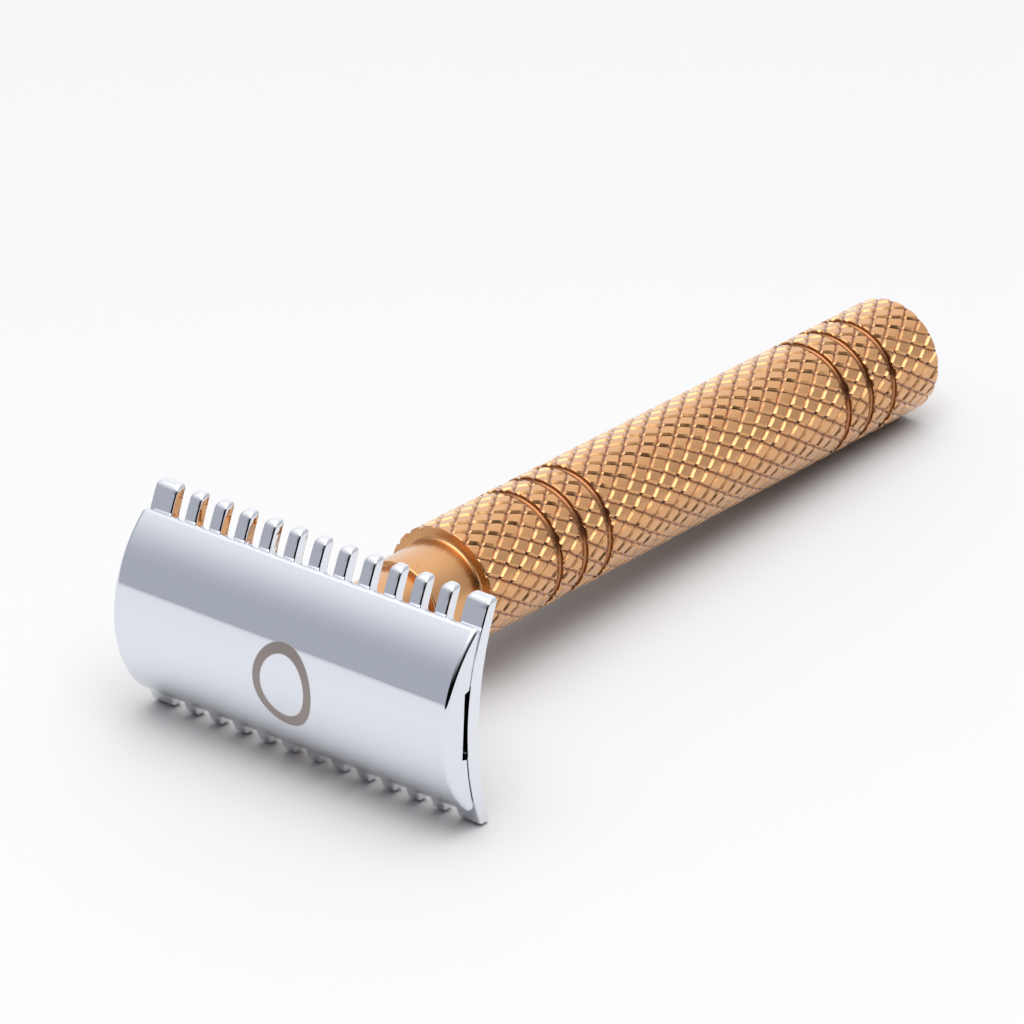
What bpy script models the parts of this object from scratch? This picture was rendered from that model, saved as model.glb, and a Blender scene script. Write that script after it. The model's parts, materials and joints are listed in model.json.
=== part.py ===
"""Three-piece open-comb safety razor, lying on its comb tips and the end of its handle.

Every piece is modelled in the razor's own frame, in millimetres: Z runs up the handle from
its butt, X along the head and Y across it. The empty "razor_frame" then lays the razor down.
"""
import math

import bmesh
import bpy
from mathutils import Matrix

MM = 0.001
CLEARANCE = 0.3                  # left between pieces that touch
PIN_CLEARANCE = 0.1              # left around a pressed or threaded shaft

# Handle, turned from bar
GRIP_RADIUS = 6.5
GRIP_LENGTH = 78.9
GRIP_EDGE = 0.3                  # rounding of the rim at the butt
GROOVE_WIDTH = 1.1
GROOVE_DEPTH = 0.5
GROOVE_PITCH = 4.2
FRONT_GROOVES_Z = 63.3           # middle groove of the three near the head
REAR_GROOVES_Z = 12.6            # middle groove of the three near the butt
NECK_RADIUS = 5.2
NECK_TOP = GRIP_LENGTH + 7.1
NECK_FILLET = 0.25
NECK_CHAMFER = 0.2
SPIGOT_RADIUS = 4.5
BORE_DEPTH = 9.5
TURNED_STEPS = 40

# Comb plate: a bowed strip with teeth along both edges
PLATE_LENGTH = 41.8
PLATE_TOP = GRIP_LENGTH + 22.3   # crown of the face under the cap
PLATE_FACE_RADIUS = 28.4
PLATE_BACK = GRIP_LENGTH + 20.55
PLATE_BACK_RADIUS = 33.0
COMB_HALF_WIDTH = 12.25
TIP_ROUND = 1.0                  # how far each tooth tip is rounded over
TIP_CORNER = 0.25
TOOTH_PITCH = 3.14
SLOT_WIDTH = 1.65
SLOT_START = 8.7                 # distance of a slot's closed end from the middle
SLOTS_PER_SIDE = 12
SEAT_RADIUS = 5.2
SEAT_Z = PLATE_BACK - 0.4        # flat face that the handle pulls against

# Cap: a domed bar with rounded long edges and a recess for a blade's tabs at each end
CAP_LENGTH = 42.0
CAP_RADIUS = 13.06
CAP_TOP = GRIP_LENGTH + 26.1
CAP_EDGE = 0.55
RECESS_WIDTH = 8.0
RECESS_HEIGHT = 0.5
RECESS_DEPTH = 4.0

# Threaded stud and the two posts that keep the plate square to the cap
STUD_RADIUS = 2.4
STUD_IN_CAP = 2.0
THREAD_ENGAGED = 6.4
STUD_CHAMFER = 0.4
POST_RADIUS = 1.6
POST_X = 14.3
POST_IN_CAP = 1.2
POST_LENGTH = 4.6
PIN_STEPS = 24

HANDLE_TOP = SEAT_Z - CLEARANCE
PLATE_FACE_CENTRE = PLATE_TOP - PLATE_FACE_RADIUS
PLATE_BACK_CENTRE = PLATE_BACK - PLATE_BACK_RADIUS
CAP_UNDERSIDE_RADIUS = PLATE_FACE_RADIUS + CLEARANCE
CAP_UNDERSIDE = PLATE_TOP + CLEARANCE
CAP_CENTRE = CAP_TOP - CAP_RADIUS


def arc(centre, radius, start, end, segments):
    """Points on a circle in the (y, z) plane, from one angle to another in degrees."""
    points = []
    for step in range(segments + 1):
        angle = math.radians(start + (end - start) * step / segments)
        y = centre[0] + radius * math.cos(angle)
        points.append((y, centre[1] + radius * math.sin(angle)))
    return points


def angle_of(point, centre):
    """Angle in degrees of a point seen from a centre."""
    return math.degrees(math.atan2(point[1] - centre[1], point[0] - centre[0]))


def tangent_centre(z_a, distance_a, z_b, distance_b):
    """Point at two given distances from two centres on the Z axis, at positive Y."""
    gap = z_a - z_b
    along = (distance_b ** 2 - distance_a ** 2 + gap ** 2) / (2 * gap)
    return (math.sqrt(distance_b ** 2 - along ** 2), z_b + along)


def clear_scene():
    """Remove every object that the file opened with."""
    for old in list(bpy.data.objects):
        bpy.data.objects.remove(old, do_unlink=True)


def make_material(name, colour, metallic, roughness):
    """A Principled material with one colour."""
    material = bpy.data.materials.new(name)
    material.use_nodes = True
    shader = material.node_tree.nodes["Principled BSDF"]
    shader.inputs["Base Color"].default_value = (*colour, 1.0)
    shader.inputs["Metallic"].default_value = metallic
    shader.inputs["Roughness"].default_value = roughness
    return material


def add_object(name, mesh_builder, material, collection, parent):
    """Link an object whose bmesh is filled by mesh_builder in millimetres."""
    bm = bmesh.new()
    mesh_builder(bm)
    bmesh.ops.scale(bm, vec=(MM, MM, MM), verts=bm.verts)
    mesh = bpy.data.meshes.new(name)
    bm.to_mesh(mesh)
    bm.free()
    if material:
        mesh.materials.append(material)
    made = bpy.data.objects.new(name, mesh)
    collection.objects.link(made)
    made.parent = parent
    return made


def add_turned(name, profile, steps, material, collection, parent):
    """Turn a profile of (radius, z) points about the Z axis."""
    def build(bm):
        verts = [bm.verts.new((radius, 0.0, z)) for radius, z in profile]
        for first, second in zip(verts, verts[1:]):
            bm.edges.new((first, second))

    turned = add_object(name, build, material, collection, parent)
    screw = turned.modifiers.new("turn", "SCREW")
    screw.steps = steps
    screw.render_steps = steps
    screw.use_merge_vertices = True
    screw.merge_threshold = 0.00001
    screw.use_smooth_shade = False
    return turned


def add_extruded(name, outline, length, material, collection, parent):
    """Extrude a closed (y, z) outline along X, to both sides of X = 0."""
    def build(bm):
        bm.faces.new([bm.verts.new((0.0, y, z)) for y, z in outline])

    bar = add_object(name, build, material, collection, parent)
    solidify = bar.modifiers.new("length", "SOLIDIFY")
    solidify.thickness = length * MM
    solidify.offset = 0.0
    return bar


def add_cylinder(bm, x, radius, z_low, z_high):
    """An upright cylinder at (x, 0)."""
    middle = Matrix.Translation((x, 0.0, (z_low + z_high) / 2))
    bmesh.ops.create_cone(bm, cap_ends=True, segments=PIN_STEPS, radius1=radius, radius2=radius,
                          depth=z_high - z_low, matrix=middle)


def add_box(bm, low, high):
    """A box between two corners."""
    middle = [(a + b) / 2 for a, b in zip(low, high)]
    size = [b - a for a, b in zip(low, high)]
    matrix = Matrix.Translation(middle) @ Matrix.Diagonal((*size, 1.0))
    bmesh.ops.create_cube(bm, size=1.0, matrix=matrix)


def combine(target, operation, cutter):
    """Add a Boolean modifier and hide its cutter."""
    boolean = target.modifiers.new(cutter.name, "BOOLEAN")
    boolean.operation = operation
    boolean.solver = "EXACT"
    boolean.object = cutter
    cutter.hide_render = True
    cutter.display_type = "WIRE"


def groove_points(middle):
    """A round-bottomed groove in the grip, from its upper to its lower lip."""
    half = GROOVE_WIDTH / 2
    radius = (half ** 2 + GROOVE_DEPTH ** 2) / (2 * GROOVE_DEPTH)
    centre = GRIP_RADIUS - GROOVE_DEPTH + radius
    reach = math.degrees(math.asin(half / radius))
    return arc((centre, middle), radius, 180 - reach, 180 + reach, 4)


def make_handle(material, collection, parent):
    """Knurled grip, neck and spigot in one turned piece with a blind tapped bore."""
    bore_radius = STUD_RADIUS + PIN_CLEARANCE
    profile = [(0.0, HANDLE_TOP - BORE_DEPTH), (bore_radius, HANDLE_TOP - BORE_DEPTH)]
    profile += [(bore_radius, HANDLE_TOP), (SPIGOT_RADIUS, HANDLE_TOP), (SPIGOT_RADIUS, NECK_TOP)]
    profile += [(NECK_RADIUS - NECK_CHAMFER, NECK_TOP), (NECK_RADIUS, NECK_TOP - NECK_CHAMFER)]
    fillet_centre = (NECK_RADIUS + NECK_FILLET, GRIP_LENGTH + NECK_FILLET)
    profile += arc(fillet_centre, NECK_FILLET, 180, 270, 3)
    profile += [(GRIP_RADIUS, GRIP_LENGTH)]
    for group in (FRONT_GROOVES_Z, REAR_GROOVES_Z):
        for place in (1, 0, -1):
            profile += groove_points(group + place * GROOVE_PITCH)
    profile += arc((GRIP_RADIUS - GRIP_EDGE, GRIP_EDGE), GRIP_EDGE, 0, -90, 2)
    profile += [(0.0, 0.0)]
    return add_turned("handle", profile, TURNED_STEPS, material, collection, parent)


def tip_centre():
    """Centre of a tooth tip's rounding on the face side."""
    y = COMB_HALF_WIDTH - TIP_ROUND
    reach = PLATE_FACE_RADIUS - TIP_ROUND
    return (y, PLATE_FACE_CENTRE + math.sqrt(reach ** 2 - y ** 2))


def corner_centre():
    """Centre of a tooth tip's small corner on the back."""
    y = COMB_HALF_WIDTH - TIP_CORNER
    reach = PLATE_BACK_RADIUS + TIP_CORNER
    return (y, PLATE_BACK_CENTRE + math.sqrt(reach ** 2 - y ** 2))


def plate_outline():
    """Cross-section of the comb plate: bowed face, rounded-over tips, hollow back."""
    face_centre = (0.0, PLATE_FACE_CENTRE)
    back_centre = (0.0, PLATE_BACK_CENTRE)
    tip_angle = angle_of(tip_centre(), face_centre)
    back_angle = angle_of(corner_centre(), back_centre)
    half = arc(face_centre, PLATE_FACE_RADIUS, 90, tip_angle, 12)[1:]
    half += arc(tip_centre(), TIP_ROUND, tip_angle, 0, 4)[1:]
    half += arc(corner_centre(), TIP_CORNER, 0, back_angle - 180, 4)
    half += arc(back_centre, PLATE_BACK_RADIUS, back_angle, 90, 12)[1:-1]
    mirrored = [(-y, z) for y, z in reversed(half)]
    return [(0.0, PLATE_TOP)] + half + [(0.0, PLATE_BACK)] + mirrored


def make_plate(material, collection, cutters, parent):
    """Open-comb base plate with a flat seat for the handle and holes for stud and posts."""
    plate = add_extruded("comb_plate", plate_outline(), PLATE_LENGTH, material, collection, parent)

    def seat(bm):
        add_cylinder(bm, 0.0, SEAT_RADIUS, SEAT_Z, PLATE_TOP - 0.8)

    def slots(bm):
        first = -(SLOTS_PER_SIDE - 1) / 2
        for index in range(SLOTS_PER_SIDE):
            x = (first + index) * TOOTH_PITCH
            x_low = x - SLOT_WIDTH / 2
            x_high = x + SLOT_WIDTH / 2
            for side in (1, -1):
                ends = sorted((side * SLOT_START, side * (COMB_HALF_WIDTH + 1.0)))
                add_box(bm, (x_low, ends[0], GRIP_LENGTH), (x_high, ends[1], CAP_TOP))

    def holes(bm):
        add_cylinder(bm, 0.0, STUD_RADIUS + CLEARANCE, GRIP_LENGTH, CAP_TOP)
        for side in (1, -1):
            add_cylinder(bm, side * POST_X, POST_RADIUS + CLEARANCE, GRIP_LENGTH, CAP_TOP)

    combine(plate, "UNION", add_object("plate_seat_form", seat, None, cutters, parent))
    combine(plate, "DIFFERENCE", add_object("plate_slot_form", slots, None, cutters, parent))
    combine(plate, "DIFFERENCE", add_object("plate_hole_form", holes, None, cutters, parent))
    return plate


def cap_outline():
    """Cross-section of the cap: domed top, round long edges, hollow underside."""
    top_centre = (0.0, CAP_CENTRE)
    under_centre = (0.0, PLATE_FACE_CENTRE)
    edge = tangent_centre(CAP_CENTRE, CAP_RADIUS - CAP_EDGE,
                          PLATE_FACE_CENTRE, CAP_UNDERSIDE_RADIUS + CAP_EDGE)
    top_angle = angle_of(edge, top_centre)
    under_angle = angle_of(edge, under_centre)
    half = arc(top_centre, CAP_RADIUS, 90, top_angle, 14)[1:]
    half += arc(edge, CAP_EDGE, top_angle, under_angle - 180, 6)[1:]
    half += arc(under_centre, CAP_UNDERSIDE_RADIUS, under_angle, 90, 10)[1:-1]
    mirrored = [(-y, z) for y, z in reversed(half)]
    return [(0.0, CAP_TOP)] + half + [(0.0, CAP_UNDERSIDE)] + mirrored


def make_cap(material, collection, cutters, parent):
    """Domed cap with a tab recess at each end and blind holes for the stud and the posts."""
    cap = add_extruded("cap", cap_outline(), CAP_LENGTH, material, collection, parent)

    def recesses(bm):
        half = CAP_LENGTH / 2
        for side in (1, -1):
            ends = sorted((side * (half - RECESS_DEPTH), side * (half + 1.0)))
            low = (ends[0], -RECESS_WIDTH / 2, PLATE_BACK)
            high = (ends[1], RECESS_WIDTH / 2, CAP_UNDERSIDE + RECESS_HEIGHT)
            add_box(bm, low, high)

    def holes(bm):
        top = CAP_UNDERSIDE + STUD_IN_CAP + PIN_CLEARANCE
        add_cylinder(bm, 0.0, STUD_RADIUS + PIN_CLEARANCE, PLATE_BACK, top)
        top = CAP_UNDERSIDE + POST_IN_CAP + PIN_CLEARANCE
        for side in (1, -1):
            add_cylinder(bm, side * POST_X, POST_RADIUS + PIN_CLEARANCE, PLATE_BACK, top)

    combine(cap, "DIFFERENCE", add_object("cap_recess_form", recesses, None, cutters, parent))
    combine(cap, "DIFFERENCE", add_object("cap_hole_form", holes, None, cutters, parent))
    return cap


def make_stud(material, collection, parent):
    """Threaded stud, plain in outline, fixed in the cap and engaged in the handle."""
    top = CAP_UNDERSIDE + STUD_IN_CAP
    bottom = HANDLE_TOP - THREAD_ENGAGED
    profile = [(0.0, top), (STUD_RADIUS, top), (STUD_RADIUS, bottom + STUD_CHAMFER)]
    profile += [(STUD_RADIUS - STUD_CHAMFER, bottom), (0.0, bottom)]
    return add_turned("threaded_stud", profile, PIN_STEPS, material, collection, parent)


def make_post(name, x, material, collection, parent):
    """Alignment post with a chamfered nose."""
    top = CAP_UNDERSIDE + POST_IN_CAP
    bottom = top - POST_LENGTH
    profile = [(0.0, top), (POST_RADIUS, top), (POST_RADIUS, bottom + STUD_CHAMFER)]
    profile += [(POST_RADIUS - STUD_CHAMFER, bottom), (0.0, bottom)]
    post = add_turned(name, profile, PIN_STEPS, material, collection, parent)
    post.location.x = x * MM
    return post


def lay_down(frame):
    """Rest the comb tips and the butt's rim on Z = 0, with the origin under the middle."""
    tip_y = -corner_centre()[0]
    tip_z = corner_centre()[1]
    rim_y = -(GRIP_RADIUS - GRIP_EDGE)
    rim_z = GRIP_EDGE
    span = math.hypot(tip_z - rim_z, tip_y - rim_y)
    lean = math.atan2(tip_y - rim_y, tip_z - rim_z)
    angle = lean + math.acos((TIP_CORNER - GRIP_EDGE) / span)
    across = math.cos(angle)
    upward = math.sin(angle)
    floor = rim_y * upward + rim_z * across - GRIP_EDGE
    front = -CAP_CENTRE * upward - CAP_RADIUS
    rear = -rim_y * across - rim_z * upward + GRIP_EDGE
    frame.rotation_euler = (angle, 0.0, 0.0)
    frame.location = (0.0, -(front + rear) / 2 * MM, -floor * MM)


def main():
    clear_scene()
    parts = bpy.data.collections.new("razor")
    cutters = bpy.data.collections.new("boolean_forms")
    for collection in (parts, cutters):
        bpy.context.scene.collection.children.link(collection)
    frame = bpy.data.objects.new("razor_frame", None)
    parts.objects.link(frame)

    copper = make_material("copper_anodised", (0.58, 0.30, 0.11), 1.0, 0.35)
    cap_chrome = make_material("cap_chrome", (0.75, 0.76, 0.78), 1.0, 0.06)
    comb_chrome = make_material("comb_chrome", (0.72, 0.73, 0.75), 1.0, 0.08)
    steel = make_material("stud_steel", (0.62, 0.61, 0.59), 1.0, 0.3)

    make_handle(copper, parts, frame)
    make_plate(comb_chrome, parts, cutters, frame)
    make_cap(cap_chrome, parts, cutters, frame)
    make_stud(steel, parts, frame)
    make_post("alignment_post_left", -POST_X, steel, parts, frame)
    make_post("alignment_post_right", POST_X, steel, parts, frame)
    lay_down(frame)


main()
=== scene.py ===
"""Looks for a three-piece safety razor: chromed cap and open-comb plate on a knurled copper handle.

Shapes are built in the razor's own frame, in millimetres: Z runs up the handle from its butt,
X along the head and Y across it. Each finished mesh is then laid down in the CAD's frame, in metres.
"""
import json
import math

import bmesh
import bpy
from mathutils import Matrix, Vector


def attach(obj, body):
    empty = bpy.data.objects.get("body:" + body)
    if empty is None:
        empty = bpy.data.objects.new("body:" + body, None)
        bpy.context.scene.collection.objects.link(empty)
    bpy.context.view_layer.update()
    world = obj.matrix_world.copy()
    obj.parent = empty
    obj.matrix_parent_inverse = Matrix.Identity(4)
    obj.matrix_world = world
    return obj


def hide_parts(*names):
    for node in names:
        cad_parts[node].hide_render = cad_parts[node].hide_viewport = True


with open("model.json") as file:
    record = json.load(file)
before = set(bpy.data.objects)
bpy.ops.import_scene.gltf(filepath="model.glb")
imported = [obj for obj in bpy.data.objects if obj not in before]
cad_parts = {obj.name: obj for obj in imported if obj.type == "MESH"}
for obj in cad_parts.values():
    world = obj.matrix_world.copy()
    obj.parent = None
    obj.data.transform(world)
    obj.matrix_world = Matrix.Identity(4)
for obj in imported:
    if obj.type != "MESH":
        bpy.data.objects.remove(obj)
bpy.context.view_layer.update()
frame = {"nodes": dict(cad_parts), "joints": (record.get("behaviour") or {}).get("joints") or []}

MM = 0.001

# Grip: knurl cuts and the turned grooves that divide them
GRIP_LENGTH = 78.9
KNURL_STARTS = 21                # cuts of each hand round the grip
DIAMOND_LENGTH = 3.2             # along the handle, from point to point
KNURL_TURN = -4.5                # degrees
KNURL_SHIFT = 0.37               # along the handle
CUT_WIDTH = 0.56
CUT_WANDER = 0.6                 # a few tenths of it is how far a cut strays along the handle
CUT_DEPTH = 0.25
LIP_CHAMFER = 0.1
GROOVE_WIDTH = 1.1
GROOVE_DEPTH = 0.52
GROOVE_CORNER = 0.25
LIP_STEP = 0.06                  # a turned wall starts this far below the bottom of the cuts
GROOVE_PITCH = 4.2
GROOVE_GROUPS = (63.3, 12.6)     # middle groove of each three
BUTT_ROUNDING = 0.3
BUTT_LINES = (0.08, 0.6, 1.0)    # shares of that rounding at which the knurl is divided to follow it
BUTT_JOINT = 0.3                 # width of the flat strip that joins that rounding to the butt's face
TURNED_STEPS = 144
GROOVE_SHADE_MARK = 2.0                 # the "cut" value on a turned groove's walls, which the copper takes as painted shade; a knurl cut reaches 1

# Neck and the bore for the stud
NECK_RADIUS = 5.2
NECK_LENGTH = 7.1
NECK_FILLET = 0.35
NECK_CHAMFER = 0.2
SPIGOT_RADIUS = 4.5
SPIGOT_CHAMFER = 0.15
BORE_RADIUS = 2.5
BORE_CHAMFER = 0.25
BORE_DEPTH = 9.5

# Comb plate
FACE_RADIUS = 28.4               # bow of the face under the cap
BACK_RADIUS = 33.0
BACK_BELOW_FACE = 1.75           # thickness at the middle
TIP_ROUND = 1.0
TIP_CORNER = 0.25
TOOTH_PITCH = 3.14
SLOT_WIDTH = 1.65
SLOT_START = 8.7
SLOTS_PER_SIDE = 12
TOOTH_CORNER = 0.6               # plan rounding at a tooth's tip
SLOT_CORNER = 0.35               # plan rounding at a slot's closed end
COMB_EDGE = 0.2                  # rounding left by polishing on every edge of the comb
FLAT_THICKNESS = 1.5             # of the comb before it is bowed
BOW_STEP = 0.6                   # between the lines at which it bends
SEAT_RADIUS = 5.2
SEAT_STEP = 0.4
SEAT_BURIED = 0.8                # from the face down to the top of the seat's disc, inside the plate
HOLE_CLEARANCE = 0.3
FORM_PAST = 1.0                  # how far a form for a hole or recess reaches past what it cuts

# Cap
CAP_RADIUS = 13.06
CAP_RIM = 0.55                   # rounding of the long edges
CAP_END = 0.52                   # rounding of the end edges, less than that of the long ones
CAP_GAP = 0.12                   # between the cap's underside and the comb's face
RECESS_CEILING_WIDTH = 7.1
RECESS_HEIGHT = 0.8
RECESS_DEPTH = 4.0
RECESS_REACH = 4.0               # of its form below the cap's underside
RECESS_FOOT_WIDTH = 9.8          # of its form at that depth, which sets the slant of the sides
PIN_CLEARANCE = 0.1
ETCH_MIDDLE = (0.7, -1.2)        # of the etched oval
ETCH_HALF_WIDTH = 3.2
ETCH_HALF_HEIGHT = 4.0
ETCH_LINE = 0.15                 # half the line's width, as a share of the oval

# Stud and posts
THREAD_PITCH = 0.8
THREAD_DEPTH = 0.43
THREAD_CREST = 0.1
THREAD_FLANK = 0.26
THREAD_ROOT = 0.18
THREAD_STEPS = 48
NOSE_CHAMFER = 0.4
POST_CHAMFER = 0.1

# Tolerances: for cutting along a plane, finding the points on it, and joining tiles
CUT_TOLERANCE = 0.0001
ON_PLANE = 0.0005
TILE_JOIN = 0.005

# Table and softbox, in metres and watts
TABLE_HALF_WIDTH = 8.0
SOFTBOX_PLACE = (0.24, -0.3, 1.0)
SOFTBOX_SIZE = 0.9
SOFTBOX_WATTS = 10.0

# Camera, from the middle of the razor: degrees round it and above the floor, metres away
CAMERA_AZIMUTH = 37.63
CAMERA_ELEVATION = 27.46
CAMERA_DISTANCE = 0.73
CAMERA_AIM = (-0.0102, -0.0016, 0.0062)
CAMERA_LENS = 247.2


def razor_placing(joints):
    """Matrix from the razor's own millimetres to the CAD's frame, read from the head's unscrewing axis."""
    joint = next(j for j in joints if j["name"] == "head_unscrew")
    up = Vector(joint["axis"]).normalized()
    along = Vector((1.0, 0.0, 0.0))
    turn = Matrix((along, up.cross(along), up)).transposed().to_4x4()
    return Matrix.Translation(joint["pos_m"]) @ turn @ Matrix.Scale(MM, 4)


PLACING = razor_placing(frame["joints"])


def span(node):
    """Lowest and highest corner of a CAD node in the razor's own frame."""
    back = PLACING.inverted()
    points = [back @ v.co for v in frame["nodes"][node].data.vertices]
    low = Vector([min(p[axis] for p in points) for axis in range(3)])
    high = Vector([max(p[axis] for p in points) for axis in range(3)])
    return low, high


HANDLE_TOP = span("handle")[1].z
GRIP_RADIUS = span("handle")[1].x
PLATE_TOP = span("comb_plate")[1].z
PLATE_HALF_LENGTH, COMB_HALF_WIDTH = span("comb_plate")[1].xy
CAP_TOP = span("cap")[1].z
CAP_HALF_LENGTH = span("cap")[1].x

FACE_CENTRE = PLATE_TOP - FACE_RADIUS
BACK_CENTRE = PLATE_TOP - BACK_BELOW_FACE - BACK_RADIUS
SEAT_Z = PLATE_TOP - BACK_BELOW_FACE - SEAT_STEP
CAP_CENTRE = CAP_TOP - CAP_RADIUS
UNDERSIDE_RADIUS = FACE_RADIUS + CAP_GAP
UNDERSIDE = PLATE_TOP + CAP_GAP
STUD_HOLE = span("threaded_stud")[1].x + HOLE_CLEARANCE
POST_X = sum(corner.x for corner in span("alignment_post_right")) / 2
POST_HOLE = span("alignment_post_right")[1].x - POST_X + HOLE_CLEARANCE
KNURL_WIDTH = 2 * math.pi * GRIP_RADIUS / KNURL_STARTS


# Nodes and colours

def colour(text):
    """An sRGB hex colour as linear RGBA."""
    channels = [int(text[i:i + 2], 16) / 255 for i in (1, 3, 5)]
    linear = [c / 12.92 if c <= 0.04045 else ((c + 0.055) / 1.055) ** 2.4 for c in channels]
    return (*linear, 1.0)


def add_node(tree, kind, inputs=None, **settings):
    """Add a node with its settings; an input given as a node or socket is linked, any other is set."""
    node = tree.nodes.new(kind)
    for name, value in settings.items():
        setattr(node, name, value)
    for key, value in (inputs or {}).items():
        if isinstance(value, bpy.types.Node):
            value = value.outputs[0]
        if isinstance(value, bpy.types.NodeSocket):
            tree.links.new(value, node.inputs[key])
        else:
            node.inputs[key].default_value = value
    return node


def new_material(name):
    """A material, its tree and its Principled shader."""
    material = bpy.data.materials.new(name)
    material.use_nodes = True
    tree = material.node_tree
    return material, tree, tree.nodes["Principled BSDF"]


def razor_coordinates(tree):
    """Object coordinates turned into the razor's own frame, in millimetres."""
    location, rotation, scale = PLACING.inverted().decompose()
    coordinates = add_node(tree, "ShaderNodeTexCoord")
    return add_node(tree, "ShaderNodeMapping", {
        "Vector": coordinates.outputs["Object"], "Location": location,
        "Rotation": rotation.to_euler("XYZ"), "Scale": scale})


# Materials

def anodised_aluminium():
    """Aluminium, turned, knurled and blasted, then anodised and dyed copper: satin metal with faint
    rings from the lathe, painted shade of a darker copper in the knurl cuts and on the walls of the
    turned grooves, and a few dark pits. The clear oxide over the dye pales it where it is seen at a slant."""
    material, tree, shader = new_material("anodised_aluminium_copper")
    place = razor_coordinates(tree)
    axes = add_node(tree, "ShaderNodeSeparateXYZ", {0: place})
    flat = add_node(tree, "ShaderNodeCombineXYZ", {"X": axes.outputs["X"], "Y": axes.outputs["Y"]})
    radius = add_node(tree, "ShaderNodeVectorMath", {0: flat}, operation="LENGTH").outputs["Value"]
    profile = add_node(tree, "ShaderNodeMath", {0: radius, 1: axes.outputs["Z"]}, operation="SUBTRACT")
    # Feed marks 0.12 mm apart, where the real tool leaves about 0.05 mm, so that they show
    rings = add_node(tree, "ShaderNodeTexNoise", {"W": profile, "Scale": 8.0, "Detail": 2.0},
                     noise_dimensions="1D")
    # Blasting grit of about 0.1 mm, and dye that took unevenly over patches of about 3 mm
    grain = add_node(tree, "ShaderNodeTexNoise", {"Vector": place, "Scale": 9.0, "Detail": 3.0})
    mottle = add_node(tree, "ShaderNodeTexNoise", {"Vector": place, "Scale": 0.35, "Detail": 2.0})
    copper_tone = add_node(tree, "ShaderNodeMix", {
        "Factor": mottle.outputs["Fac"], "A": colour("#D3975A"), "B": colour("#DFA56A")},
        data_type="RGBA")
    cut = add_node(tree, "ShaderNodeAttribute", attribute_name="cut")
    # Painted shade: the copper is mixed towards a dark brown, #74401F, near the bottom of each knurl cut
    # and on the groove walls
    cut_shade = add_node(tree, "ShaderNodeMapRange", {
        "Value": cut.outputs["Fac"], "From Min": 0.5, "From Max": 1.0, "To Max": 0.9})
    shaded_cuts = add_node(tree, "ShaderNodeMix", {
        "Factor": cut_shade, "A": copper_tone.outputs["Result"], "B": colour("#74401F")}, data_type="RGBA")
    # Painted shade: the walls of the turned grooves are given a flat darker copper, #A66C3A
    groove_shade = add_node(tree, "ShaderNodeMapRange", {
        "Value": cut.outputs["Fac"], "From Min": 1.1, "From Max": 1.4})
    shaded = add_node(tree, "ShaderNodeMix", {
        "Factor": groove_shade, "A": shaded_cuts.outputs["Result"], "B": colour("#A66C3A")}, data_type="RGBA")
    # Pits up to 0.2 mm across, where the middle of a cell of about 2 mm meets the surface
    cells = add_node(tree, "ShaderNodeTexVoronoi", {"Vector": place, "Scale": 0.45})
    pit = add_node(tree, "ShaderNodeMapRange", {
        "Value": cells.outputs["Distance"], "From Min": 0.025, "From Max": 0.045,
        "To Min": 0.8, "To Max": 0.0})
    pitted = add_node(tree, "ShaderNodeMix", {
        "Factor": pit, "A": shaded.outputs["Result"], "B": colour("#3A1C0C")}, data_type="RGBA")
    roughness = add_node(tree, "ShaderNodeMapRange", {
        "Value": grain.outputs["Fac"], "To Min": 0.2, "To Max": 0.32})
    ring_bump = add_node(tree, "ShaderNodeBump", {"Height": rings, "Distance": 0.0000045, "Strength": 1.0})
    bump = add_node(tree, "ShaderNodeBump", {
        "Height": grain, "Distance": 0.000003, "Strength": 1.0, "Normal": ring_bump})
    tree.links.new(pitted.outputs["Result"], shader.inputs["Base Color"])
    tree.links.new(roughness.outputs[0], shader.inputs["Roughness"])
    tree.links.new(bump.outputs[0], shader.inputs["Normal"])
    shader.inputs["Metallic"].default_value = 1.0
    shader.inputs["Coat Weight"].default_value = 1.0
    shader.inputs["Coat Roughness"].default_value = 0.25
    shader.inputs["Coat IOR"].default_value = 1.5
    return material


def chrome_nodes(tree, shader, tint, gloss):
    """Polished chrome plating on a zinc casting: a mirror with faint lengthwise buffing lines."""
    place = razor_coordinates(tree)
    # Lines 0.6 mm apart, where a real mop leaves them about 0.02 mm apart, so that they show
    stretched = add_node(tree, "ShaderNodeMapping", {"Vector": place, "Scale": (0.05, 1.6, 1.6)})
    buffing = add_node(tree, "ShaderNodeTexNoise", {"Vector": stretched, "Scale": 1.0, "Detail": 4.0})
    # Slow waves of about 8 mm left in the casting under the plating
    ripple = add_node(tree, "ShaderNodeTexNoise", {"Vector": place, "Scale": 0.12, "Detail": 1.0})
    roughness = add_node(tree, "ShaderNodeMapRange", {
        "Value": buffing.outputs["Fac"], "From Min": 0.3, "From Max": 0.7,
        "To Min": gloss * 0.6, "To Max": gloss * 1.4})
    lines = add_node(tree, "ShaderNodeBump", {"Height": buffing, "Distance": 0.0000006, "Strength": 1.0})
    bump = add_node(tree, "ShaderNodeBump", {
        "Height": ripple, "Distance": 0.000004, "Strength": 1.0, "Normal": lines})
    shader.inputs["Base Color"].default_value = colour(tint)
    shader.inputs["Metallic"].default_value = 1.0
    tree.links.new(roughness.outputs[0], shader.inputs["Roughness"])
    tree.links.new(bump.outputs[0], shader.inputs["Normal"])
    return place, roughness


def comb_chrome():
    """Chrome on the comb plate, buffed after plating, so slightly softer than the cap's."""
    material, tree, shader = new_material("polished_chrome_comb")
    chrome_nodes(tree, shader, "#E6E8EE", 0.05)
    return material


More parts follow.
